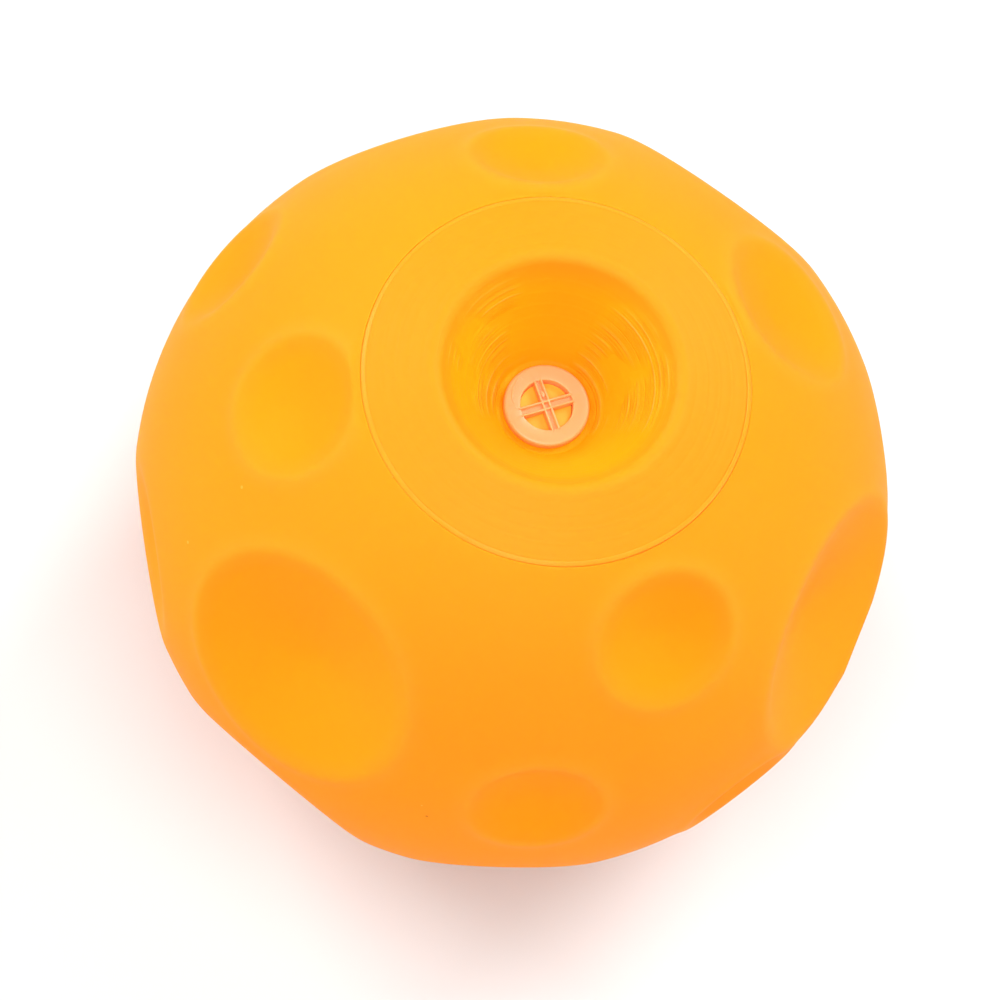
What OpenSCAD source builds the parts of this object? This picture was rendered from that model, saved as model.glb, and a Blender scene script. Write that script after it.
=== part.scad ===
// Squeaky moon-crater ball: a soft vinyl shell with a bonded funnel end
// and a push-in reed squeaker at the bottom of the funnel.
// Z runs up the funnel's axis. The ball stands on the rim of its base crater at Z = 0.

/* [Ball] */
// Outside radius of the ball
ball_r = 37.5; // [36:0.5:40]
// Thickness of the vinyl wall
wall = 2.6; // [2:0.1:3]
// Depth of a crater below its rim, as a share of the rim's diameter
crater_depth = 0.11; // [0.08:0.01:0.13]
// Rim radius of the crater that the ball stands on
base_rim_r = 8; // [6:0.5:9]

/* [Funnel end] */
// Radius of the stepped opening that takes the funnel end
seam_r = 18.7; // [18.5:0.05:19.2]
// Radius of the funnel's mouth
mouth_r = 11.6; // [10:0.1:12.5]
// Height of the mouth above the ball's centre
mouth_z = 35.25; // [34.5:0.05:35.5]
// Radius of the funnel's flat floor
floor_r = 4.8; // [4.5:0.1:5.5]
// Height of the funnel's floor above the ball's centre
floor_z = 24.9; // [23:0.1:26]
// Wall thickness of the funnel end
cap_t = 2.2; // [1.8:0.1:2.6]
// Edge radius at the funnel's mouth
mouth_round = 0.8; // [0.4:0.1:1.2]

/* [Squeaker] */
// Radius of the squeaker's flange
flange_r = 4.15; // [3.6:0.05:4.3]
// Thickness of the flange and of the grille bars
flange_t = 0.8; // [0.6:0.1:1]
// Outside radius of the barrel
barrel_r = 3.08; // [3:0.02:3.2]
// Length of the barrel below the flange
barrel_l = 9.5; // [9:0.1:11]
// Radius of the bore through the barrel
bore_r = 2.56; // [2.5:0.02:2.6]
// Widths of the two bars that cross the bore
bar_w = [0.95, 0.85]; // [0.6:0.05:1.2]
// Turn of the squeaker about the funnel's axis
squeaker_turn = 40; // [0:5:90]

/* [Reed] */
// Width of the reed
reed_w = 2.4; // [2:0.1:2.6]
// Thickness of the reed
reed_t = 0.15; // [0.1:0.01:0.2]
// Length of the free tongue
tongue_l = 5; // [4:0.1:5.2]
// Length of the tab held under the clamp
tab_l = 1; // [0.8:0.1:1.2]
// Angle at which the tongue stands off its seat at rest
reed_open = 4; // [3:0.5:6]

/* [Hidden] */

$fn = 96;
round_fn = 48;
slack = 1;

// Running gap between the shell and the funnel end, which move apart
gap = 0.05;
// Gap of a light press fit inside the squeaker
press_gap = 0.04;

// Craters: angle from the funnel's axis, turn around it, half-angle of the rim
base_angle = asin(base_rim_r / ball_r);
craters = [
    [43, 112.5, 10], [66.5, 170.5, 10.2], [41.5, -155, 10.5], [66, -113, 19],
    [44.5, -44, 10.5], [72.3, -7.2, 20], [44.5, 45, 12], [73.5, -68, 10],
    [93, -31.5, 9.3], [93.9, -149.5, 13.3],
    [70.8, 76, 14.8], [108.5, -109.3, 13.8], [111.5, -68.3, 11.5], [80, 128.5, 15.5],
    [83, 30.2, 9.7], [131, -139, 17], [116, 129, 16], [149, 154, 13],
    [105, 0, 11], [150, -5, 11], [132, 66, 10], [137, -74, 9],
    [110, 32, 8], [102, 54, 8], [93, 157, 8], [154, -104, 7],
    [180, 0, base_angle]
];
// Height of the ball's centre over the plane of the base crater's rim
centre_z = ball_r * cos(base_angle);

// Stepped opening of the shell
bead_w = 0.4;
cap_r = seam_r - gap - bead_w;
hole_r = cap_r - 1.35;
ledge_z = 30.9;
collar_z = 28.2;
collar_r = hole_r + 3.5;

// Funnel end
spigot_r = hole_r - 2 * gap;
spigot_t = 1.5;
spigot_z = 28.4;
cap_edge_z = sqrt(pow(ball_r, 2) - pow(cap_r, 2)) - gap;
boss_r = 6;
bead_z = ledge_z + 0.3;
bead_crest = 0.12;

// Squeaker
flange_z = floor_z + flange_t;
barrel_end_z = floor_z - barrel_l;
floor_hole_r = barrel_r + 0.02;
floor_under_z = floor_z - cap_t - 0.4;
barb_r = barrel_r + 0.5;
barb_top_z = floor_under_z - gap;
barb_l = 1.4;
edge_round = 0.25;

// Reed block
block_r = bore_r - press_gap;
block_z = barrel_end_z + 0.2;
disc_t = 0.8;
disc_top_z = floor_z - 0.15;
hinge_y = 0.12;
hinge_z = barrel_end_z + 1.6;
trough_w = 1.6;
trough_d = 1.3;
trough_z = hinge_z + 0.6;
outlet_w = 0.5;
tab_relief = 0.12;
clamp_y = 0.26;
breather_r = 0.75;
breather_y = 1.4;

// Arc of radius r that rounds the corner p of the path a, p, b
function unit(v) = v / norm(v);
function rounded(a, p, b, r, steps = 8) =
    let (u = unit(a - p), v = unit(b - p),
         half = acos(u * v) / 2,
         mid = p + unit(u + v) * r / sin(half),
         from = p + u * r / tan(half) - mid,
         to = p + v * r / tan(half) - mid,
         a0 = atan2(from.y, from.x),
         turn = (from.x * to.y > from.y * to.x ? 1 : -1) * (180 - 2 * half))
    [for (i = [0 : steps]) mid + r * [cos(a0 + turn * i / steps), sin(a0 + turn * i / steps)]];

// Point p moved by t at right angles to the line from a to b, to its left
function aside(a, b, p, t) = p + t * unit([a.y - b.y, b.x - a.x]);

// Point where the line through a and b meets the line through c and d
function meet(a, b, c, d) =
    let (u = b - a, v = d - c, w = c - a)
    a + u * (w.x * v.y - w.y * v.x) / (u.x * v.y - u.y * v.x);

module about_centre() {
    translate([0, 0, centre_z]) children();
}

module squeaker_frame() {
    about_centre() rotate([0, 0, squeaker_turn]) children();
}

// Sphere whose outside presses one crater into the ball, grown by the given amount
module crater_ball(crater, grow) {
    rim_r = ball_r * sin(crater[2]);
    depth = 2 * rim_r * crater_depth;
    dish_r = (pow(rim_r, 2) + pow(depth, 2)) / (2 * depth);
    rotate([0, crater[0], crater[1]])
        translate([0, 0, ball_r * cos(crater[2]) - depth + dish_r])
            sphere(dish_r + grow);
}

// Air space: follows the craters at one wall thickness and leaves a collar at the opening
module air_space() {
    difference() {
        sphere(ball_r - wall);
        for (crater = craters) crater_ball(crater, wall);
        translate([0, 0, collar_z]) cylinder(r = collar_r, h = ball_r);
    }
}

module ball_shell() {
    color("darkorange") about_centre() difference() {
        sphere(ball_r);
        for (crater = craters) crater_ball(crater, 0);
        air_space();
        translate([0, 0, collar_z - slack]) cylinder(r = hole_r, h = ball_r);
        translate([0, 0, ledge_z]) cylinder(r = seam_r, h = ball_r);
    }
}

module funnel_cap() {
    edge = [cap_r, cap_edge_z];
    mouth = [mouth_r, mouth_z];
    bottom = [floor_r, floor_z];
    under_top = aside(edge, mouth, edge, cap_t);
    under_mouth = aside(edge, mouth, mouth, cap_t);
    wall_mouth = aside(mouth, bottom, mouth, cap_t);
    wall_bottom = aside(mouth, bottom, bottom, cap_t);
    throat = meet(under_top, under_mouth, wall_mouth, wall_bottom);
    skirt_in = spigot_r - spigot_t;
    skirt_top = meet(under_top, under_mouth, [skirt_in, 0], [skirt_in, 1]);
    boss_top = meet(wall_mouth, wall_bottom, [boss_r, 0], [boss_r, 1]);
    color("orange") about_centre() rotate_extrude() polygon(concat(
        [[cap_r, ledge_z + gap], edge],
        rounded(edge, mouth, bottom, mouth_round),
        [bottom, [floor_hole_r, floor_z], [floor_hole_r, floor_under_z], [boss_r, floor_under_z]],
        [boss_top, throat, skirt_top],
        [[skirt_in, spigot_z], [spigot_r, spigot_z], [spigot_r, ledge_z + gap]]
    ));
}

module seam_cement() {
    out_r = cap_r + bead_w;
    crest_z = cap_edge_z - gap;
    color("goldenrod") about_centre() rotate_extrude() polygon([
        [cap_r, bead_z], [out_r, bead_z], [out_r, crest_z - 2 * bead_crest],
        [out_r - bead_w / 4, crest_z - bead_crest / 2], [out_r - bead_w / 2, crest_z],
        [cap_r + bead_w / 4, crest_z], [cap_r, crest_z - bead_crest / 2]
    ]);
}

module grille_bar(turn, width) {
    bar_reach = bore_r + edge_round;
    rotate([0, 0, turn]) translate([-bar_reach, -width / 2, floor_z])
        cube([2 * bar_reach, width, flange_t]);
}

module squeaker_housing() {
    top = [flange_r, flange_z];
    low = [flange_r, floor_z];
    color("peachpuff") squeaker_frame() union() {
        rotate_extrude() polygon(concat(
            [[bore_r, barrel_end_z], [barrel_r, barrel_end_z], [barrel_r, barb_top_z - barb_l]],
            [[barb_r, barb_top_z], [barrel_r, barb_top_z], [barrel_r, floor_z], low],
            rounded(low, top, [bore_r, flange_z], edge_round, 4),
            [[bore_r, flange_z]]
        ));
        grille_bar(0, bar_w[0]);
        grille_bar(90, bar_w[1]);
    }
}

// Half plug with a trough for the tongue, and an end disc with the air outlet
module reed_seat() {
    color("orange") squeaker_frame() difference() {
        union() {
            translate([0, 0, disc_top_z - disc_t]) cylinder(r = block_r, h = disc_t);
            intersection() {
                translate([0, 0, block_z]) cylinder(r = block_r, h = disc_top_z - block_z - disc_t / 2);
                translate([-bore_r, -2 * bore_r, 0]) cube([2 * bore_r, 2 * bore_r, floor_z]);
            }
        }
        translate([-trough_w / 2, -trough_d, trough_z])
            cube([trough_w, trough_d + slack, disc_top_z - disc_t - trough_z]);
        translate([-outlet_w / 2, -trough_d, disc_top_z - disc_t - slack])
            cube([outlet_w, trough_d, disc_t + 2 * slack]);
        translate([-bore_r, -tab_relief, block_z - slack])
            cube([2 * bore_r, bore_r, hinge_z - block_z + slack]);
    }
}

// Half plug that holds the reed's tab, with a breather hole into the ball
module reed_clamp() {
    color("white") squeaker_frame() difference() {
        intersection() {
            translate([0, 0, block_z]) cylinder(r = block_r, h = hinge_z - block_z);
            translate([-bore_r, clamp_y, 0]) cube([2 * bore_r, bore_r, floor_z]);
        }
        translate([0, breather_y, block_z - slack])
            cylinder(r = breather_r, h = hinge_z - block_z + 2 * slack);
    }
}

// Straight tongue and tab, tilted off the seat about the clamp's edge
module reed() {
    color("lightyellow") squeaker_frame()
        translate([0, hinge_y, hinge_z]) rotate([-reed_open, 0, 0])
            translate([-reed_w / 2, -reed_t / 2, -tab_l]) cube([reed_w, reed_t, tongue_l + tab_l]);
}

ball_shell();
funnel_cap();
seam_cement();
squeaker_housing();
reed_seat();
reed_clamp();
reed();
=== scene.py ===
# Squeaky crater ball: vinyl shell, funnel end, cement bead and push-in squeaker
import math

import bmesh
import bpy
import numpy as np
from mathutils import Matrix, Vector


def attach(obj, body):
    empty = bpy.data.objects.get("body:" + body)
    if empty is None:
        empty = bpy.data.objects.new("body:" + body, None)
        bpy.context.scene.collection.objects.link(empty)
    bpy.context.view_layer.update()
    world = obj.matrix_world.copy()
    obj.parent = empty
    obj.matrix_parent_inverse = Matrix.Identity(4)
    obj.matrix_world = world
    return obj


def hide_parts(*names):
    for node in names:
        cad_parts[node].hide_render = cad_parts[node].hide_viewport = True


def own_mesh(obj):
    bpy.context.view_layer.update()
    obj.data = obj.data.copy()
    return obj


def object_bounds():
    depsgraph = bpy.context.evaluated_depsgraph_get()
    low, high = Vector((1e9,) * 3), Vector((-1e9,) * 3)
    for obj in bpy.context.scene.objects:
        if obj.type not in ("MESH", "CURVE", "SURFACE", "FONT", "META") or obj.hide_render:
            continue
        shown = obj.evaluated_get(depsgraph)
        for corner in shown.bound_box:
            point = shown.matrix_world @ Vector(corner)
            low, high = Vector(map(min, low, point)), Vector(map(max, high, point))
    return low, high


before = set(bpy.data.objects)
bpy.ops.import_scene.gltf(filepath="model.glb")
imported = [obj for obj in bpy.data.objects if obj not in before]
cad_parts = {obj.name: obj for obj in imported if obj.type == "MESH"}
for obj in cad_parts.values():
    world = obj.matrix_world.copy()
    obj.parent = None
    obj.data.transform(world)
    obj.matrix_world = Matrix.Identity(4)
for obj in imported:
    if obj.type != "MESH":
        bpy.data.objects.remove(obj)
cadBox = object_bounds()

mm = 0.001
deg = math.pi / 180

# the ball itself, shared by every piece
ball = {
    "radius": 37.5 * mm,
    "wall": 2.6 * mm,
    "baseRim": 8.0 * mm,
}
centreZ = math.sqrt(ball["radius"] ** 2 - ball["baseRim"] ** 2)
baseAngle = math.asin(ball["baseRim"] / ball["radius"]) / deg


def addNode(tree, kind, x, y, **values):
    made = tree.nodes.new(kind)
    made.location = (x, y)
    for name, value in values.items():
        setattr(made, name, value)
    return made


def setInputs(node, **values):
    for name, value in values.items():
        node.inputs[name.replace("_", " ")].default_value = value


def mathNode(tree, operation, first, second, x, y):
    made = addNode(tree, "ShaderNodeMath", x, y, operation=operation)
    for slot, value in zip(made.inputs, (first, second)):
        if isinstance(value, (int, float)):
            slot.default_value = value
        elif value is not None:
            tree.links.new(value, slot)
    return made.outputs[0]


# keeps a math node's value between 0 and 1
def clamped(value):
    value.node.use_clamp = True
    return value


def newGroup(name, inputs, outputs):
    tree = bpy.data.node_groups.new(name, "ShaderNodeTree")
    for label, default in inputs:
        sock = tree.interface.new_socket(label, in_out="INPUT", socket_type="NodeSocketFloat")
        sock.default_value = default
    for label in outputs:
        tree.interface.new_socket(label, in_out="OUTPUT", socket_type="NodeSocketFloat")
    start = addNode(tree, "NodeGroupInput", -900, 0)
    end = addNode(tree, "NodeGroupOutput", 700, 0)
    coords = addNode(tree, "ShaderNodeTexCoord", -900, 300)
    return tree, start, end, coords


# fine orange peel of cast vinyl, plus slow cloudy patches
def buildVinylGrain():
    tree, start, end, coords = newGroup(
        "vinylGrain", [("Peel Scale", 900.0), ("Cloud Scale", 60.0)], ["Height", "Clouds"])
    peel = addNode(tree, "ShaderNodeTexNoise", -400, 200)
    setInputs(peel, Detail=3.0, Roughness=0.55)
    clouds = addNode(tree, "ShaderNodeTexNoise", -400, -200)
    setInputs(clouds, Detail=2.0, Roughness=0.5)
    for noise, label in ((peel, "Peel Scale"), (clouds, "Cloud Scale")):
        tree.links.new(coords.outputs["Object"], noise.inputs["Vector"])
        tree.links.new(start.outputs[label], noise.inputs["Scale"])
    tree.links.new(peel.outputs["Fac"], end.inputs["Height"])
    tree.links.new(clouds.outputs["Fac"], end.inputs["Clouds"])
    return tree


# concentric tool marks around the funnel's axis, broken up and strongest at the given turns, with a mask of
# painted glints on the ring crests
def buildTurnedRings(markTurns, markSpread):
    tree, start, end, coords = newGroup(
        "turnedRings", [("Ring Scale", 2600.0), ("Break Up", 0.42)], ["Height", "Glints"])
    split = addNode(tree, "ShaderNodeSeparateXYZ", -700, 200)
    tree.links.new(coords.outputs["Object"], split.inputs[0])
    squareX = mathNode(tree, "MULTIPLY", split.outputs["X"], split.outputs["X"], -500, 300)
    squareY = mathNode(tree, "MULTIPLY", split.outputs["Y"], split.outputs["Y"], -500, 150)
    radius = mathNode(tree, "SQRT", mathNode(tree, "ADD", squareX, squareY, -350, 200), None, -250, 200)
    rings = addNode(tree, "ShaderNodeTexNoise", 0, 200, noise_dimensions="1D")
    setInputs(rings, Detail=4.0, Roughness=0.7)
    tree.links.new(radius, rings.inputs["W"])
    tree.links.new(start.outputs["Ring Scale"], rings.inputs["Scale"])
    patches = addNode(tree, "ShaderNodeTexNoise", 0, -100)
    setInputs(patches, Scale=150.0, Detail=2.0)
    tree.links.new(coords.outputs["Object"], patches.inputs["Vector"])
    over = mathNode(tree, "SUBTRACT", patches.outputs["Fac"], start.outputs["Break Up"], 200, -50)
    share = clamped(mathNode(tree, "MULTIPLY", over, 6.0, 350, -50))
    marks = mathNode(tree, "MULTIPLY", rings.outputs["Fac"], share, 450, 200)
    sides = []
    for i, turn in enumerate(markTurns):
        along = addNode(tree, "ShaderNodeVectorMath", -500, -300 - 200 * i, operation="DOT_PRODUCT")
        along.inputs[1].default_value = (math.cos(turn * deg), math.sin(turn * deg), 0)
        tree.links.new(coords.outputs["Object"], along.inputs[0])
        cosine = mathNode(tree, "DIVIDE", along.outputs["Value"], radius, -300, -300 - 200 * i)
        inside = mathNode(tree, "SUBTRACT", cosine, math.cos(markSpread * deg), -100, -300 - 200 * i)
        sides.append(clamped(mathNode(tree, "MULTIPLY", inside, 4.0, 50, -300 - 200 * i)))
    oneSide = mathNode(tree, "MAXIMUM", *sides, 300, -300)
    tree.links.new(mathNode(tree, "MULTIPLY", marks, oneSide, 560, 0), end.inputs["Height"])
    # painted glints: the crests of the rings are marked for a paler colour, standing in for light catching
    # them
    crest = mathNode(tree, "SUBTRACT", rings.outputs["Fac"], 0.56, 300, -100)
    glintShare = clamped(mathNode(tree, "MULTIPLY", crest, 9.0, 450, -100))
    patched = mathNode(tree, "MULTIPLY", glintShare, share, 500, -250)
    tree.links.new(mathNode(tree, "MULTIPLY", patched, oneSide, 600, -250), end.inputs["Glints"])
    return tree


# sparse tiny specks of dust and pigment
def buildSpecks():
    tree, start, end, coords = newGroup(
        "specks", [("Scale", 260.0), ("Size", 0.05), ("Share", 0.04)], ["Mask"])
    cells = addNode(tree, "ShaderNodeTexVoronoi", -400, 100)
    tree.links.new(coords.outputs["Object"], cells.inputs["Vector"])
    tree.links.new(start.outputs["Scale"], cells.inputs["Scale"])
    near = mathNode(tree, "LESS_THAN", cells.outputs["Distance"], start.outputs["Size"], 0, 200)
    split = addNode(tree, "ShaderNodeSeparateColor", -150, -100)
    tree.links.new(cells.outputs["Color"], split.inputs[0])
    chosen = mathNode(tree, "LESS_THAN", split.outputs["Red"], start.outputs["Share"], 0, -50)
    tree.links.new(mathNode(tree, "MULTIPLY", near, chosen, 300, 100), end.inputs["Mask"])
    return tree


# how far the surface is pressed in below, or raised over, a plain ball of the given radius
def buildPressedIn():
    tree, start, end, coords = newGroup(
        "pressedIn", [("Centre Height", 0.0), ("Radius", 0.0), ("Full Depth", 0.001), ("Full Rise", 0.0002)],
        ["Sunk", "Raised"])
    split = addNode(tree, "ShaderNodeSeparateXYZ", -750, 200)
    tree.links.new(coords.outputs["Object"], split.inputs[0])
    lifted = mathNode(tree, "SUBTRACT", split.outputs["Z"], start.outputs["Centre Height"], -600, 100)
    join = addNode(tree, "ShaderNodeCombineXYZ", -450, 200)
    for slot, value in zip(join.inputs, (split.outputs["X"], split.outputs["Y"], lifted)):
        tree.links.new(value, slot)
    size = addNode(tree, "ShaderNodeVectorMath", -300, 200, operation="LENGTH")
    tree.links.new(join.outputs[0], size.inputs[0])
    under = mathNode(tree, "SUBTRACT", start.outputs["Radius"], size.outputs["Value"], -100, 200)
    over = mathNode(tree, "SUBTRACT", size.outputs["Value"], start.outputs["Radius"], -100, 0)
    for label, amount, full, y in (("Sunk", under, "Full Depth", 200), ("Raised", over, "Full Rise", 0)):
        share = clamped(mathNode(tree, "DIVIDE", amount, start.outputs[full], 100, y))
        tree.links.new(share, end.inputs[label])
    return tree


vinylGrain = buildVinylGrain()
pressedIn = buildPressedIn()
turnedRings = buildTurnedRings(markTurns=(35, 176), markSpread=48)
specks = buildSpecks()
print("shared shader groups built")


def newMaterial(name):
    material = bpy.data.materials.new(name)
    material.use_nodes = True
    tree = material.node_tree
    tree.nodes.clear()
    out = addNode(tree, "ShaderNodeOutputMaterial", 900, 0)
    shader = addNode(tree, "ShaderNodeBsdfPrincipled", 600, 0)
    tree.links.new(shader.outputs["BSDF"], out.inputs["Surface"])
    return material, tree, shader


def placeGroup(tree, group, x, y, **values):
    made = addNode(tree, "ShaderNodeGroup", x, y, node_tree=group)
    setInputs(made, **values)
    return made


def mixColour(tree, mask, first, second, x, y):
    mix = addNode(tree, "ShaderNodeMix", x, y, data_type="RGBA")
    slots = [s for s in mix.inputs if s.enabled]
    if isinstance(mask, (int, float)):
        slots[0].default_value = mask
    else:
        tree.links.new(mask, slots[0])
    for slot, value in zip(slots[1:], (first, second)):
        if hasattr(value, "node"):
            tree.links.new(value, slot)
        else:
            slot.default_value = (*value, 1.0)
    return [s for s in mix.outputs if s.enabled][0]


# adds a bump to the shader, on top of an earlier bump's normal if there is one
def softBump(tree, shader, height, distance, strength, normal=None, x=350, y=-400):
    bump = addNode(tree, "ShaderNodeBump", x, y)
    setInputs(bump, Distance=distance, Strength=strength)
    tree.links.new(height, bump.inputs["Height"])
    if normal is not None:
        tree.links.new(normal, bump.inputs["Normal"])
    tree.links.new(bump.outputs["Normal"], shader.inputs["Normal"])
    return bump.outputs["Normal"]


vinyl = {
    "colour": (1.0, 0.275, 0.012),
    "cloudColour": (1.0, 0.262, 0.009),
    # painted shade in the craters and painted highlight on their raised lips
    "paintedCraterShade": (1.0, 0.27, 0.006),
    "paintedLipHighlight": (1.0, 0.28, 0.016),
    "darkSpeck": (0.72, 0.15, 0.008),
    "paleSpeck": (1.0, 0.37, 0.05),
    "roughness": 0.5,
    "specular": 0.02,
    "subsurface": 0.3,
    "scatterRadius": (1.0, 0.30, 0.03),
    "scatterScale": 1.6 * mm,
    "peelDepth": 0.02 * mm,
    "sunkDepth": 0.9 * mm,
    "raisedBy": 0.2 * mm,
}


def vinylBase(name, colour, cloudColour):
    material, tree, shader = newMaterial(name)
    grain = placeGroup(tree, vinylGrain, -700, 0)
    darkDots = placeGroup(tree, specks, -700, -200)
    paleDots = placeGroup(tree, specks, -700, -350, Scale=330.0, Size=0.055, Share=0.09)
    base = mixColour(tree, grain.outputs["Clouds"], colour, cloudColour, -450, 200)
    spotted = mixColour(tree, darkDots.outputs["Mask"], base, vinyl["darkSpeck"], -300, 200)
    dusty = mixColour(tree, paleDots.outputs["Mask"], spotted, vinyl["paleSpeck"], -150, 200)
    setInputs(shader, Roughness=vinyl["roughness"], Subsurface_Weight=vinyl["subsurface"],
              Subsurface_Radius=vinyl["scatterRadius"], Subsurface_Scale=vinyl["scatterScale"],
              IOR=1.5, Specular_IOR_Level=vinyl["specular"])
    normal = softBump(tree, shader, grain.outputs["Height"], vinyl["peelDepth"], 0.5)
    return material, tree, shader, dusty, normal


# painted shade deepens the shell's colour in the craters, and a painted highlight pales their raised lips
def shellMaterial():
    material, tree, shader, dusty, _ = vinylBase("shellVinyl", vinyl["colour"], vinyl["cloudColour"])
    pressed = placeGroup(tree, pressedIn, -300, -100, Centre_Height=centreZ, Radius=ball["radius"],
                         Full_Depth=vinyl["sunkDepth"], Full_Rise=vinyl["raisedBy"])
    # painted shade where the surface is pressed in, painted highlight where it is raised
    craterShaded = mixColour(tree, pressed.outputs["Sunk"], dusty, vinyl["paintedCraterShade"], 50, 200)
    final = mixColour(tree, pressed.outputs["Raised"], craterShaded, vinyl["paintedLipHighlight"], 250, 200)
    tree.links.new(final, shader.inputs["Base Color"])
    return material


# the funnel end's colour is painted yellower towards its floor as painted glow, and it carries patches of
# turned rings whose crests get painted glints
def funnelMaterial():
    material, tree, shader, dusty, normal = vinylBase("funnelVinyl", funnel["colour"], funnel["cloudColour"])
    # painted glow: yellower colour deeper in the funnel
    deep = placeGroup(tree, pressedIn, -300, -100, Centre_Height=centreZ, Radius=funnel["glowStart"],
                      Full_Depth=funnel["glowDepth"], Full_Rise=funnel["glowDepth"])
    glow = mixColour(tree, deep.outputs["Sunk"], dusty, funnel["glowColour"], 50, 200)
    rings = placeGroup(tree, turnedRings, -700, -600)
    # painted glints: paler colour on the ring crests, only inside the funnel
    glintMask = mathNode(tree, "MULTIPLY", rings.outputs["Glints"], deep.outputs["Sunk"], -100, -300)
    final = mixColour(tree, glintMask, glow, funnel["paintedGlintColour"], 250, 200)
    tree.links.new(final, shader.inputs["Base Color"])
    setInputs(shader, Specular_IOR_Level=funnel["specular"])
    wallRings = mathNode(tree, "MULTIPLY", rings.outputs["Height"], deep.outputs["Sunk"], -100, -600)
    softBump(tree, shader, wallRings, funnel["ringBump"], 0.9, normal, 500, -600)
    return material


def makeObject(name, points, faces, material, smooth=True):
    mesh = bpy.data.meshes.new(name)
    mesh.from_pydata([tuple(p) for p in points], [], [tuple(f) for f in faces])
    mesh.validate()
    mesh.update()
    mesh.polygons.foreach_set("use_smooth", [smooth] * len(mesh.polygons))
    mesh.materials.append(material)
    piece = bpy.data.objects.new(name, mesh)
    bpy.context.scene.collection.objects.link(piece)
    return piece


# ring of faces between two rings of points with the same count
def bandFaces(first, second, count):
    step = np.arange(count)
    after = (step + 1) % count
    return np.stack([first + step, first + after, second + after, second + step], 1)


# points of an arc in a radius-height outline
def arcPoints(centre, radius, startAngle, endAngle, steps):
    angles = np.linspace(startAngle, endAngle, steps + 1) * deg
    return [(centre[0] + radius * math.cos(a), centre[1] + radius * math.sin(a)) for a in angles]


# rounds the corner of a radius-height outline
def roundedCorner(before, corner, after, radius, steps=6):
    before, corner, after = (np.array(p, float) for p in (before, corner, after))
    u = (before - corner) / np.linalg.norm(before - corner)
    v = (after - corner) / np.linalg.norm(after - corner)
    half = math.acos(np.clip(u @ v, -1, 1)) / 2
    middle = corner + (u + v) / np.linalg.norm(u + v) * radius / math.sin(half)
    start = corner + u * radius / math.tan(half) - middle
    end = corner + v * radius / math.tan(half) - middle
    a0 = math.atan2(start[1], start[0])
    turn = math.atan2(start[0] * end[1] - start[1] * end[0], start @ end)
    return [tuple(middle + radius * np.array([math.cos(a0 + turn * i / steps),
                                              math.sin(a0 + turn * i / steps)]))
            for i in range(steps + 1)]


# closed solid of revolution about the funnel's axis, from a closed outline
def revolve(outline, count):
    angles = np.arange(count) * 2 * math.pi / count
    points, faces = [], []
    for i, (r, z) in enumerate(outline):
        points.append(np.stack([r * np.cos(angles), r * np.sin(angles), np.full(count, z)], 1))
        faces.append(bandFaces(i * count, (i + 1) % len(outline) * count, count))
    return np.concatenate(points), np.concatenate(faces)


# straight stretch cut into short steps, without its last point
def stretch(a, b, step):
    count = max(1, int(math.dist(a, b) / step))
    return [(a[0] + (b[0] - a[0]) * i / count, a[1] + (b[1] - a[1]) * i / count) for i in range(count)]


# the shell and its craters
shell = {
    "openingRadius": 18.7 * mm,
    "holeRadius": 16.9 * mm,
    # the hidden ledge is low enough to clear the funnel end at full squeeze
    "ledgeHeight": 30.65 * mm,
    "edgeRound": 0.09 * mm,
    # lengths of the mesh's edges, on the ball, near crater rims and round the opening
    "coarseEdge": 0.75 * mm,
    "fineEdge": 0.2 * mm,
    "rimEdge": 0.5 * mm,
    "fineBand": 1.5 * mm,
    "rimSnap": 0.15 * mm,
    "innerRings": 64,
    "depthShare": 0.11,
    "dishPower": 1.6,
    "lipHeight": 0.2 * mm,
    "lipWidth": 1.15 * mm,
    "lipPlace": 1.04,
    "crispSoftness": 0.5 * mm,
    # craters fade out towards the seam, over this many degrees from this angle
    "fadeFrom": 30.6,
    "fadeOver": 1.2,
    # angle from the funnel's axis, turn around it, half-angle and softness (mm) of the rim
    "craters": [
        (43, 112.5, 10, 0.45), (66.5, 170.5, 10.2, 0.45), (41.5, -155, 10.5, 0.4),
        (66, -113, 19, 0.6), (44.5, -44, 10.5, 0.45), (72.3, -7.2, 20, 0.6),
        (44.5, 45, 12, 0.5), (73.5, -68, 10, 0.3), (93, -31.5, 9.3, 0.5),
        (93.9, -149.5, 13.3, 1.2), (70.8, 76, 14.8, 1.8), (108.5, -109.3, 13.8, 1.8),
        (111.5, -68.3, 11.5, 1.5), (80, 128.5, 15.5, 1.8), (83, 30.2, 9.7, 1.2),
        (131, -139, 17, 0.6), (116, 129, 16, 0.6), (149, 154, 13, 0.5),
        (105, 0, 11, 0.45), (150, -5, 11, 0.45), (132, 66, 10, 0.4),
        (137, -74, 9, 0.4), (110, 32, 8, 0.4), (102, 54, 8, 0.4),
        (93, 157, 8, 0.4), (154, -104, 7, 0.4), (180, 0, baseAngle, 0.4),
    ],
}


def craterAxes():
    polar, turn, half, soft = np.array(shell["craters"], float).T
    polar, turn = polar * deg, turn * deg
    axes = np.stack([np.sin(polar) * np.cos(turn), np.sin(polar) * np.sin(turn), np.cos(polar)], 1)
    return axes, half * deg, soft * mm


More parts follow.
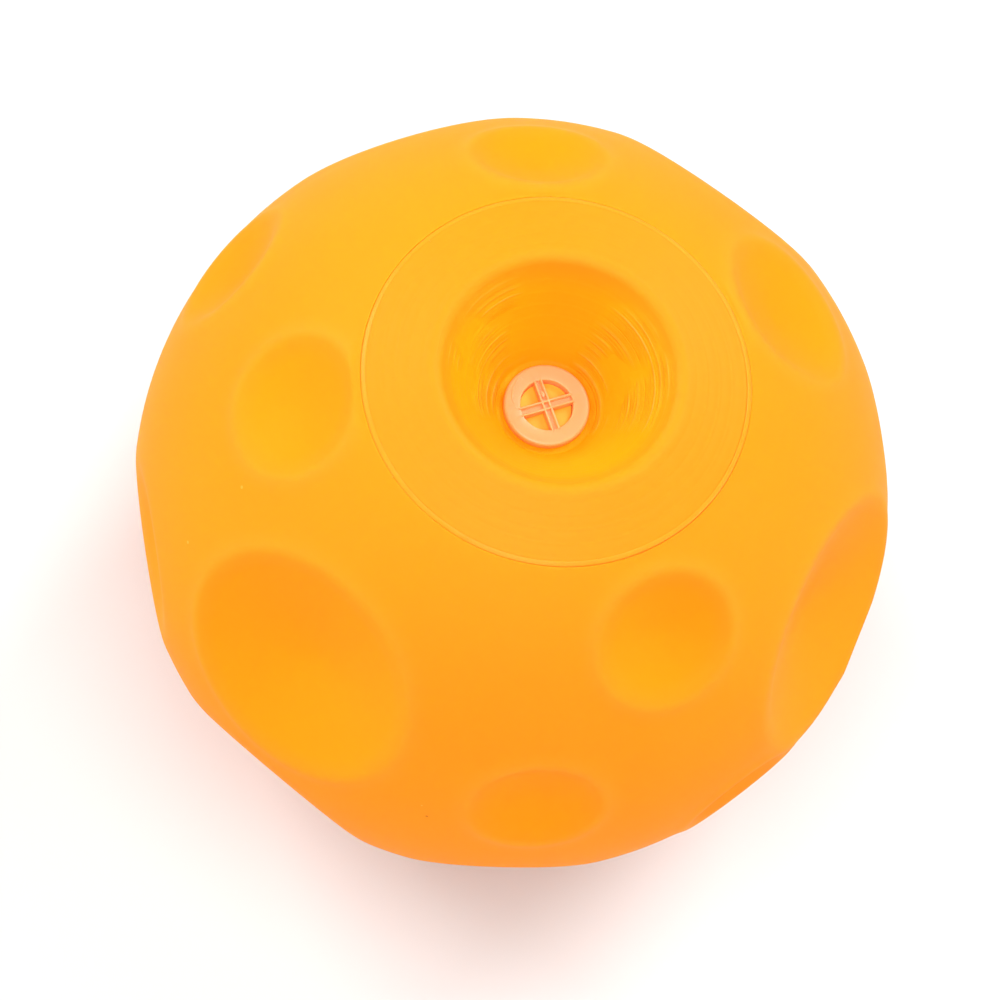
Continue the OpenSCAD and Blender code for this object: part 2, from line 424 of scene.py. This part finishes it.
# height of the surface over the plain sphere, for unit directions
def craterHeight(directions):
    axes, half, softness = craterAxes()
    height = np.zeros(len(directions))
    for axis, rim, soft in zip(axes, half, softness):
        away = np.arccos(np.clip(directions @ axis, -1, 1))
        near = away < rim * 1.6
        share = away[near] / rim
        rimRadius = ball["radius"] * math.sin(rim)
        depth = 2 * rimRadius * shell["depthShare"] + ball["radius"] * (1 - math.cos(rim))
        dish = depth * (1 - share ** shell["dishPower"])
        pressed = np.where(dish > soft, dish, np.where(dish < -soft, 0, (dish + soft) ** 2 / (4 * soft)))
        lipHeight = shell["lipHeight"] * min(1, shell["crispSoftness"] / soft)
        fromLip = (share - shell["lipPlace"]) * rimRadius
        lip = lipHeight * np.exp(-(fromLip / shell["lipWidth"]) ** 2)
        height[near] += lip - pressed
    fade = np.clip((np.arccos(directions[:, 2]) / deg - shell["fadeFrom"]) / shell["fadeOver"], 0, 1)
    return height * fade * fade * (3 - 2 * fade)


# splits the marked edges of a triangle mesh, keeping it closed
def splitEdges(points, triangles, wanted):
    starts = np.concatenate([triangles[:, 0], triangles[:, 1], triangles[:, 2]])
    ends = np.concatenate([triangles[:, 1], triangles[:, 2], triangles[:, 0]])
    keys = np.minimum(starts, ends) * len(points) + np.maximum(starts, ends)
    unique, back = np.unique(keys, return_inverse=True)
    unique = np.stack([unique // len(points), unique % len(points)], 1)
    back = back.reshape(3, -1).T
    middle = (points[unique[:, 0]] + points[unique[:, 1]]) / 2
    length = np.linalg.norm(points[unique[:, 0]] - points[unique[:, 1]], axis=1)
    marked = length > wanted(middle)
    number = np.full(len(unique), -1)
    number[marked] = len(points) + np.arange(marked.sum())
    points = np.concatenate([points, middle[marked]])
    made = []
    cut = number[back]
    count = (cut >= 0).sum(1)
    made.append(triangles[count == 0])
    for side in range(3):
        t = np.roll(triangles, -side, axis=1)
        c = np.roll(cut, -side, axis=1)
        one = (count == 1) & (c[:, 0] >= 0)
        a, b, d = t[one].T
        made += [np.stack([a, c[one, 0], d], 1), np.stack([c[one, 0], b, d], 1)]
        two = (count == 2) & (c[:, 2] < 0)
        a, b, d = t[two].T
        m, n = c[two, 0], c[two, 1]
        made += [np.stack([a, m, n], 1), np.stack([m, b, n], 1), np.stack([a, n, d], 1)]
    a, b, d = triangles[count == 3].T
    m, n, o = cut[count == 3].T
    made += [np.stack([a, m, o], 1), np.stack([m, b, n], 1), np.stack([o, n, d], 1), np.stack([m, n, o], 1)]
    return points, np.concatenate(made), marked.any()


# sphere of triangles below the given height, its edge on a true circle
def openSphere(radius, cutHeight):
    ball3d = bmesh.new()
    bmesh.ops.create_icosphere(ball3d, subdivisions=6, radius=radius)
    everything = ball3d.verts[:] + ball3d.edges[:] + ball3d.faces[:]
    bmesh.ops.bisect_plane(ball3d, geom=everything, plane_co=(0, 0, cutHeight), plane_no=(0, 0, 1),
                           clear_outer=True, dist=shell["rimSnap"])
    bmesh.ops.triangulate(ball3d, faces=ball3d.faces[:])
    ball3d.verts.ensure_lookup_table()
    points = np.array([v.co for v in ball3d.verts])
    triangles = np.array([[v.index for v in f.verts] for f in ball3d.faces])
    ball3d.free()
    edge = points[:, 2] > cutHeight - shell["rimSnap"] - 0.01 * mm
    points[edge, 2] = cutHeight
    points[edge, :2] *= (math.sqrt(radius ** 2 - cutHeight ** 2)
                         / np.linalg.norm(points[edge, :2], axis=1))[:, None]
    points[~edge] *= (radius / np.linalg.norm(points[~edge], axis=1))[:, None]
    return points, triangles


def shellMesh():
    radius = ball["radius"]
    axes, half, _ = craterAxes()
    rimRoot = shell["openingRadius"] + shell["edgeRound"]
    cutHeight = math.sqrt(radius ** 2 - rimRoot ** 2)
    points, triangles = openSphere(radius, cutHeight)

    def wanted(middle):
        unit = middle / np.linalg.norm(middle, axis=1)[:, None]
        gap = np.abs(np.arccos(np.clip(unit @ axes.T, -1, 1)) - half[None, :]).min(1) * radius
        size = np.where(gap < shell["fineBand"], shell["fineEdge"], shell["coarseEdge"])
        return np.where(middle[:, 2] > cutHeight - 0.02 * mm, shell["rimEdge"], size)

    more = True
    while more:
        points, triangles, more = splitEdges(points, triangles, wanted)
        onEdge = points[:, 2] > cutHeight - 0.01 * mm
        flat = np.linalg.norm(points[:, :2], axis=1)
        points[onEdge, :2] *= (rimRoot / flat[onEdge])[:, None]
        points[~onEdge] *= (radius / np.linalg.norm(points[~onEdge], axis=1))[:, None]
    directions = points / np.linalg.norm(points, axis=1)[:, None]
    height = craterHeight(directions)
    height[onEdge] = 0
    outer = directions * (radius + height)[:, None]

    # rings that carry the surface round the stepped opening and over the inside of the wall
    rim = np.where(onEdge)[0]
    rim = rim[np.argsort(np.arctan2(outer[rim, 1], outer[rim, 0]))]
    count = len(rim)
    turn = np.arctan2(outer[rim, 1], outer[rim, 0])
    wallCorner = (shell["openingRadius"], cutHeight + 0.25 * shell["edgeRound"])
    outline = roundedCorner((rimRoot, cutHeight), wallCorner,
                            (shell["openingRadius"], shell["ledgeHeight"]), shell["edgeRound"] * 0.8, 5)
    inside = radius - ball["wall"]
    holeTop = math.asin(shell["holeRadius"] / inside)
    outline += [(shell["openingRadius"], shell["ledgeHeight"]), (shell["holeRadius"], shell["ledgeHeight"])]
    outline += [(shell["holeRadius"], inside * math.cos(holeTop))]
    rings = [np.stack([r * np.cos(turn), r * np.sin(turn), np.full(count, z)], 1) for r, z in outline]
    for polar in np.linspace(holeTop, math.pi, shell["innerRings"])[1:-1]:
        unit = np.stack([np.sin(polar) * np.cos(turn), np.sin(polar) * np.sin(turn),
                         np.full(count, math.cos(polar))], 1)
        rings.append(unit * (inside + craterHeight(unit))[:, None])
    firstRing = len(outer)
    quads = [np.stack([rim, np.roll(rim, -1), np.roll(firstRing + np.arange(count), -1),
                       firstRing + np.arange(count)], 1)]
    for i in range(len(rings) - 1):
        quads.append(bandFaces(firstRing + i * count, firstRing + (i + 1) * count, count))
    bottom = -inside - craterHeight(np.array([[0, 0, -1.0]]))[0]
    allPoints = np.concatenate([outer, *rings, [[0, 0, bottom]]])
    last = firstRing + (len(rings) - 1) * count + np.arange(count)
    tipFaces = np.stack([last, np.roll(last, -1), np.full(count, len(allPoints) - 1)], 1)
    return allPoints, triangles.tolist() + np.concatenate(quads).tolist() + tipFaces.tolist()


def buildShell():
    points, faces = shellMesh()
    points[:, 2] += centreZ
    # the raised lips end at the ball's own width and at the plane it stands on
    points = np.clip(points, cadBox[0], cadBox[1])
    piece = makeObject("shellSkin", points, faces, shellMaterial())
    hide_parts("ball_shell")
    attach(piece, "shell")
    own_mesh(piece)
    print("shell:", len(points), "points")
    return piece


# the funnel end: outline from the seam over the mouth to the floor
funnel = {
    "edgeRadius": 18.25 * mm,
    "mouthRadius": 11.6 * mm,
    "mouthHeight": 35.25 * mm,
    "floorRadius": 4.8 * mm,
    "floorHeight": 24.9 * mm,
    "holeRadius": 3.1 * mm,
    "mouthRound": 1.3 * mm,
    "edgeRound": 0.07 * mm,
    "bottomRound": 0.35 * mm,
    "edgeSink": 0.05 * mm,
    # the hidden back: underside round the squeaker, throat, and the skirt that fits the shell
    "underside": 22.3 * mm,
    "bossRadius": 6 * mm,
    "bossTop": 22.72 * mm,
    "throat": (12.46 * mm, 32.56 * mm),
    "skirtInner": 15.3 * mm,
    "skirtOuter": 16.8 * mm,
    "skirtTop": 31.47 * mm,
    "skirtBottom": 28.4 * mm,
    "shoulder": 30.95 * mm,
    "step": 0.12 * mm,
    "ringDepth": 0.004 * mm,
    "ringPitches": (0.34 * mm, 0.47 * mm, 0.71 * mm, 1.3 * mm),
    "ringFade": 0.5 * mm,
    "ringBump": 0.6 * mm,
    "specular": 0.07,
    "colour": (1.0, 0.26, 0.010),
    "cloudColour": (1.0, 0.25, 0.008),
    # painted glow: the colour turns yellower below this radius from the ball's centre, over this depth
    "glowStart": 37.1 * mm,
    "glowDepth": 3.5 * mm,
    "glowColour": (1.0, 0.32, 0.0035),
    # painted glints on the crests of the turned rings
    "paintedGlintColour": (1.0, 0.42, 0.05),
    "segments": 360,
}


# slightly uneven outline, as a turned mould leaves it
def turnedOutline(points, depth, draws):
    path = np.array(points)
    along = np.concatenate([[0], np.cumsum(np.linalg.norm(np.diff(path, axis=0), axis=1))])
    direction = np.gradient(path, axis=0)
    direction /= np.linalg.norm(direction, axis=1)[:, None]
    normal = np.stack([-direction[:, 1], direction[:, 0]], 1)
    wave = sum(np.sin(along / pitch * 2 * math.pi + draws.uniform(0, 6.28))
               for pitch in funnel["ringPitches"])
    ends = np.minimum(1, np.minimum(along, along[-1] - along) / funnel["ringFade"])
    return [tuple(p) for p in path + normal * (depth * wave * ends)[:, None]]


def buildFunnel():
    draws = np.random.default_rng(11)
    edgeHeight = math.sqrt(ball["radius"] ** 2 - funnel["edgeRadius"] ** 2) - funnel["edgeSink"]
    edge = (funnel["edgeRadius"], edgeHeight)
    mouth = (funnel["mouthRadius"], funnel["mouthHeight"])
    bottom = (funnel["floorRadius"], funnel["floorHeight"])
    floorEnd = (funnel["holeRadius"], funnel["floorHeight"])
    mouthArc = roundedCorner(edge, mouth, bottom, funnel["mouthRound"], 10)
    edgeArc = roundedCorner((edge[0], funnel["shoulder"]), edge, mouth, funnel["edgeRound"], 4)
    bottomArc = roundedCorner(mouth, bottom, floorEnd, funnel["bottomRound"], 5)
    face = turnedOutline(stretch(edgeArc[-1], mouthArc[0], funnel["step"]) + [mouthArc[0]],
                         funnel["ringDepth"], draws)
    wall = turnedOutline(stretch(mouthArc[-1], bottomArc[0], funnel["step"]) + [bottomArc[0]],
                         funnel["ringDepth"], draws)
    outline = [(edge[0], funnel["shoulder"])] + edgeArc[:-1] + face + mouthArc[1:-1] + wall + bottomArc[1:]
    outline += [floorEnd, (floorEnd[0], funnel["underside"]), (funnel["bossRadius"], funnel["underside"])]
    outline += [(funnel["bossRadius"], funnel["bossTop"]), funnel["throat"]]
    outline += [(funnel["skirtInner"], funnel["skirtTop"]), (funnel["skirtInner"], funnel["skirtBottom"])]
    outline += [(funnel["skirtOuter"], funnel["skirtBottom"]), (funnel["skirtOuter"], funnel["shoulder"])]
    points, faces = revolve(outline, funnel["segments"])
    points[:, 2] += centreZ
    piece = makeObject("funnelSkin", points, faces.tolist(), funnelMaterial())
    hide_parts("funnel_cap")
    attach(piece, "funnel_end")
    print("funnel end:", len(points), "points")
    return piece


# the cement bead in the seam
bead = {
    "inner": 18.25 * mm,
    "outer": 18.68 * mm,
    "bottom": 31.25 * mm,
    "sink": 0.03 * mm,
    "waviness": 0.03 * mm,
    "waveOrders": (3, 7, 12, 19, 31, 53),
    "drop": 0.045 * mm,
    "proudTurn": -12,
    "proudReach": 45,
    "proudRise": 0.19 * mm,
    "segments": 720,
    "colour": (1.0, 0.27, 0.010),
    "paleColour": (1.0, 0.31, 0.024),
    "crumbTurns": [-95, -78, -62, -52, -40, -31, -20, 38, 66, 84, 108, 150, 196, 231],
    "crumbSize": (0.05 * mm, 0.1 * mm),
    "crumbSpread": 0.45 * mm,
    "slope": 0.56,
}


def beadMaterial():
    material, tree, shader = newMaterial("cement")
    grain = placeGroup(tree, vinylGrain, -500, 0, Peel_Scale=1800.0, Cloud_Scale=110.0)
    colour = mixColour(tree, grain.outputs["Clouds"], bead["colour"], bead["paleColour"], -100, 200)
    tree.links.new(colour, shader.inputs["Base Color"])
    setInputs(shader, Roughness=0.3, Subsurface_Weight=0.3, Subsurface_Radius=vinyl["scatterRadius"],
              Subsurface_Scale=1.0 * mm, IOR=1.5, Specular_IOR_Level=0.08)
    softBump(tree, shader, grain.outputs["Height"], 0.02 * mm, 0.5)
    return material


# small crumbs of cement left along the seam, as squashed eight-sided beads
def crumbMesh(draws, firstNumber):
    corners = np.array([(1, 0, 0), (0, 1, 0), (-1, 0, 0), (0, -1, 0), (0, 0, 1), (0, 0, -1)], float)
    sides = [(0, 1, 4), (1, 2, 4), (2, 3, 4), (3, 0, 4), (1, 0, 5), (2, 1, 5), (3, 2, 5), (0, 3, 5)]
    points, faces = [], []
    for turn, side in zip(bead["crumbTurns"], draws.uniform(-1, 1, len(bead["crumbTurns"]))):
        angle = (turn + draws.uniform(-4, 4)) * deg
        radius = (bead["inner"] + bead["outer"]) / 2 + side * bead["crumbSpread"]
        size = draws.uniform(*bead["crumbSize"])
        place = np.array([radius * math.cos(angle), radius * math.sin(angle),
                          math.sqrt(ball["radius"] ** 2 - radius ** 2) + 0.15 * size])
        faces += [[firstNumber + len(points) + k for k in face] for face in sides]
        points += list(place + corners * size * draws.uniform(0.6, 1.3, 3))
    return np.array(points), faces


def buildBead():
    draws = np.random.default_rng(5)
    count = bead["segments"]
    angles = np.arange(count) * 2 * math.pi / count
    wave = np.zeros(count)
    for order in bead["waveOrders"]:
        wave += draws.normal(0, 1) * np.cos(order * angles + draws.uniform(0, 6.28)) / math.sqrt(order)
    wave *= bead["waviness"] / np.abs(wave).max()
    offTurn = np.angle(np.exp(1j * (angles - bead["proudTurn"] * deg))) / deg
    proud = np.exp(-(offTurn / bead["proudReach"]) ** 2)
    middle = (bead["inner"] + bead["outer"]) / 2
    halfWidth = (bead["outer"] - bead["inner"]) / 2
    points, faces = [], []
    crest = np.sqrt(ball["radius"] ** 2 - middle ** 2) - bead["sink"] + bead["proudRise"] * proud + wave
    section = [(-1, None), (1, None)] + [(math.cos(a * deg), math.sin(a * deg)) for a in range(0, 181, 20)]
    for i, (across, up) in enumerate(section):
        r = middle + across * halfWidth
        slope = -across * halfWidth * bead["slope"]
        z = np.full(count, bead["bottom"]) if up is None else crest - (1 - up) * bead["drop"] + slope
        points.append(np.stack([r * np.cos(angles), r * np.sin(angles), z], 1))
        faces.append(bandFaces(i * count, (i + 1) % len(section) * count, count))
    points = np.concatenate(points)
    faces = np.concatenate(faces).tolist()
    crumbs, crumbFaces = crumbMesh(draws, len(points))
    points = np.concatenate([points, crumbs])
    points[:, 2] += centreZ
    piece = makeObject("cementBead", points, faces + crumbFaces, beadMaterial())
    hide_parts("seam_cement")
    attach(piece, "funnel_end")
    print("cement bead:", len(points), "points")
    return piece


# the push-in squeaker, with its grille
squeaker = {
    "flangeRadius": 4.15 * mm,
    "flange": 0.8 * mm,
    "flangeRound": 0.28 * mm,
    "boreRound": 0.08 * mm,
    "barrelRadius": 3.08 * mm,
    "barrelBottom": 15.4 * mm,
    "barbRadius": 3.58 * mm,
    "barbTop": 22.25 * mm,
    "barbBottom": 20.85 * mm,
    "boreRadius": 2.56 * mm,
    "barOverlap": 0.12 * mm,
    "barWidths": [0.85 * mm, 0.95 * mm],
    "ribWidth": 0.2 * mm,
    "grooveDepth": 0.28 * mm,
    "gateSize": (0.2 * mm, 0.34 * mm, 0.09 * mm),
    "gateReach": 1.15 * mm,
    "mark": {"fromTurn": 112, "toTurn": 170, "fromRadius": 3.72 * mm, "toRadius": 2.95 * mm,
             "width": 0.16 * mm, "steps": 24},
    "turn": 40 * deg,
    "colour": (1.0, 0.365, 0.145),
    "cloudColour": (1.0, 0.335, 0.12),
}


def polytheneMaterial():
    material, tree, shader = newMaterial("naturalPolythene")
    grain = placeGroup(tree, vinylGrain, -500, 0, Peel_Scale=1500.0, Cloud_Scale=250.0)
    colour = mixColour(tree, grain.outputs["Clouds"], squeaker["colour"], squeaker["cloudColour"], -100, 200)
    tree.links.new(colour, shader.inputs["Base Color"])
    setInputs(shader, Roughness=0.32, Subsurface_Weight=0.6, Subsurface_Radius=(1.0, 0.8, 0.5),
              Subsurface_Scale=1.5 * mm, IOR=1.5)
    softBump(tree, shader, grain.outputs["Height"], 0.015 * mm, 0.5)
    return material


# joins an extra shape to the piece and removes the extra
def uniteWith(piece, extra):
    join = piece.modifiers.new("join", "BOOLEAN")
    join.operation, join.solver, join.object = "UNION", "EXACT", extra
    graph = bpy.context.evaluated_depsgraph_get()
    piece.data = bpy.data.meshes.new_from_object(piece.evaluated_get(graph))
    piece.modifiers.clear()
    bpy.data.objects.remove(extra)


# a bar across the bore, with a raised rib along each edge and a groove between them
def grilleBar(name, width, turn, bottom, top, material):
    rib, halfBar = squeaker["ribWidth"], width / 2
    reach = squeaker["boreRadius"] + squeaker["barOverlap"]
    groove, ribRoot = top - squeaker["grooveDepth"], top - 0.02 * mm
    section = [(-halfBar, bottom), (halfBar, bottom), (halfBar, ribRoot)]
    section += arcPoints((halfBar - rib / 2, top), rib / 2, 0, 180, 6)
    section += [(halfBar - rib * 1.3, groove), (-halfBar + rib * 1.3, groove)]
    section += arcPoints((-halfBar + rib / 2, top), rib / 2, 0, 180, 6)
    section += [(-halfBar, ribRoot)]
    count = len(section)
    ends = [[(x, side * reach, z) for x, z in section] for side in (-1, 1)]
    faces = [list(range(count)), list(range(2 * count - 1, count - 1, -1))]
    faces += [[k, k + count, (k + 1) % count + count, (k + 1) % count] for k in range(count)]
    bar = makeObject(name, ends[0] + ends[1], faces, material, False)
    bar.data.transform(Matrix.Rotation(turn, 4, "Z"))
    return bar


# blister left by the moulding gate on one of the bars
def gateScar(top, material):
    shape = bmesh.new()
    bmesh.ops.create_uvsphere(shape, u_segments=16, v_segments=10, radius=1)
    size, reach = Vector(squeaker["gateSize"]), squeaker["gateReach"]
    points = [(v.co.x * size.x, v.co.y * size.y + reach, v.co.z * size.z + top - 0.03 * mm)
              for v in shape.verts]
    faces = [[v.index for v in f.verts] for f in shape.faces]
    shape.free()
    return makeObject("gate", points, faces, material)


# thin raised curve where the moulding's flow fronts met on the flange
def flowMark(top, material):
    mark = squeaker["mark"]
    rings, count = [], 8
    for share in np.linspace(0, 1, mark["steps"]):
        angle = (mark["fromTurn"] + (mark["toTurn"] - mark["fromTurn"]) * share) * deg
        radius = mark["fromRadius"] + (mark["toRadius"] - mark["fromRadius"]) * share ** 2
        width = mark["width"] * (0.25 + math.sin(math.pi * share))
        section = arcPoints((radius, top - 0.02 * mm), width / 2, 0, 360 - 360 / count, count - 1)
        rings += [(r * math.cos(angle), r * math.sin(angle), z) for r, z in section]
    faces = [list(range(count)), list(range(len(rings) - 1, len(rings) - count - 1, -1))]
    for i in range(mark["steps"] - 1):
        faces += bandFaces((i + 1) * count, i * count, count).tolist()
    return makeObject("flow", rings, faces, material)


def buildSqueaker():
    floorZ = funnel["floorHeight"]
    top = floorZ + squeaker["flange"]
    material = polytheneMaterial()
    barrel, bore, flange = squeaker["barrelRadius"], squeaker["boreRadius"], squeaker["flangeRadius"]
    flangeLow, flangeTop = (flange, floorZ), (flange, top)
    boreLow, boreTop = (bore, floorZ), (bore, top)
    outline = [(bore, squeaker["barrelBottom"]), (barrel, squeaker["barrelBottom"])]
    outline += [(barrel, squeaker["barbBottom"]), (squeaker["barbRadius"], squeaker["barbTop"])]
    outline += [(barrel, squeaker["barbTop"]), (barrel, floorZ), flangeLow]
    outline += roundedCorner(flangeLow, flangeTop, boreTop, squeaker["flangeRound"], 6)
    outline += roundedCorner(flangeTop, boreTop, boreLow, squeaker["boreRound"], 3)
    points, faces = revolve(outline, 192)
    piece = makeObject("whistleHousing", points, faces.tolist(), material)
    for i, width in enumerate(squeaker["barWidths"]):
        uniteWith(piece, grilleBar(f"bar{i}", width, i * 90 * deg, floorZ, top, material))
    uniteWith(piece, gateScar(top, material))
    uniteWith(piece, flowMark(top, material))
    piece.data.transform(Matrix.Translation((0, 0, centreZ)) @ Matrix.Rotation(squeaker["turn"], 4, "Z"))
    piece.data.shade_smooth()
    piece.data.set_sharp_from_angle(angle=40 * deg)
    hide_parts("squeaker_housing")
    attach(piece, "funnel_end")
    print("squeaker:", len(piece.data.vertices), "points")
    return piece


def plasticMaterial(name, first, second, roughness):
    material, tree, shader = newMaterial(name)
    grain = placeGroup(tree, vinylGrain, -500, 0, Peel_Scale=1500.0, Cloud_Scale=200.0)
    colour = mixColour(tree, grain.outputs["Clouds"], first, second, -100, 200)
    tree.links.new(colour, shader.inputs["Base Color"])
    setInputs(shader, Roughness=roughness, IOR=1.5)
    softBump(tree, shader, grain.outputs["Height"], 0.015 * mm, 0.5)
    return material


def finishInnerNodes():
    looks = {
        "reed_seat": plasticMaterial("orangePlastic", (1.0, 0.42, 0.012), (1.0, 0.38, 0.01), 0.5),
        "reed_clamp": plasticMaterial("clampPlastic", (0.85, 0.8, 0.7), (0.8, 0.74, 0.62), 0.35),
        "reed": plasticMaterial("reedFilm", (0.9, 0.9, 0.85), (0.85, 0.85, 0.78), 0.15),
    }
    for node, material in looks.items():
        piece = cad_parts[node]
        piece.data.materials.clear()
        piece.data.materials.append(material)


# camera, as it is held over the ball
view = {
    "right": Vector((0.929, 0.345, 0.133)),
    "up": Vector((-0.370, 0.867, 0.334)),
    "distance": 0.6,
    "lens": 216.8,
    "offRight": 1.06 * mm,
    "offUp": 0.52 * mm,
}


# soft lights, each placed by how far right, up and back of the ball it is for the camera
lights = {
    "surround": 0.1,
    "floorHalf": 3.0,
    "floorDrop": 0.2 * mm,
    "lamps": {
        "topLeft": {"toward": (-0.75, 0.85, 0.55), "distance": 0.9, "size": 0.5, "power": 5.5},
        "topRight": {"toward": (0.75, 0.85, 0.55), "distance": 0.9, "size": 0.5, "power": 6.1},
        "left": {"toward": (-1, 0, 0.35), "distance": 0.9, "size": 0.5, "power": 1.6},
        "right": {"toward": (1, -0.2, 0.3), "distance": 0.9, "size": 0.5, "power": 1.8},
        "front": {"toward": (0.05, 0.1, 1), "distance": 1.1, "size": 0.9, "power": 10.2},
        "low": {"toward": (0, -0.6, 1), "distance": 1.1, "size": 0.7, "power": 3.7},
    },
}


def cameraAxes():
    right = view["right"].normalized()
    up = (view["up"] - right * view["up"].dot(right)).normalized()
    return right, up, right.cross(up)


def placeLight(name, direction, distance, size, power):
    centre = Vector((0, 0, centreZ))
    data = bpy.data.lights.new(name, "AREA")
    data.shape, data.size, data.energy = "DISK", size, power
    lamp = bpy.data.objects.new(name, data)
    lamp.location = centre + direction.normalized() * distance
    lamp.rotation_euler = direction.to_track_quat("Z", "Y").to_euler()
    bpy.context.scene.collection.objects.link(lamp)
    return lamp


def buildStage():
    right, up, back = cameraAxes()
    floorMaterial, tree, shader = newMaterial("paleFloor")
    setInputs(shader, Base_Color=(0.69, 0.69, 0.69, 1), Roughness=0.9)
    half = lights["floorHalf"]
    corners = [(-half, -half, 0), (half, -half, 0), (half, half, 0), (-half, half, 0)]
    floor = makeObject("floor", corners, [(0, 1, 2, 3)], floorMaterial, False)
    floor.location.z = -lights["floorDrop"]
    for name, lamp in lights["lamps"].items():
        direction = right * lamp["toward"][0] + up * lamp["toward"][1] + back * lamp["toward"][2]
        placeLight(name, direction, lamp["distance"], lamp["size"], lamp["power"])
    world = bpy.data.worlds.new("studio")
    world.use_nodes = True
    world.node_tree.nodes["Background"].inputs[0].default_value = (1, 1, 1, 1)
    world.node_tree.nodes["Background"].inputs[1].default_value = lights["surround"]
    bpy.context.scene.world = world


def buildCamera():
    right, up, back = cameraAxes()
    data = bpy.data.cameras.new("camera")
    data.lens, data.sensor_width = view["lens"], 36
    data.clip_start, data.clip_end = 0.01, 10
    camera = bpy.data.objects.new("camera", data)
    axes = Matrix((right, up, back)).transposed().to_4x4()
    place = Vector((0, 0, centreZ)) + back * view["distance"] - right * view["offRight"] - up * view["offUp"]
    camera.matrix_world = Matrix.Translation(place) @ axes
    bpy.context.scene.collection.objects.link(camera)
    bpy.context.scene.camera = camera
    bpy.context.scene.view_settings.view_transform = "Standard"


buildCamera()
buildStage()
print("camera, light and floor placed")
buildShell()
buildFunnel()
buildBead()
buildSqueaker()
finishInnerNodes()
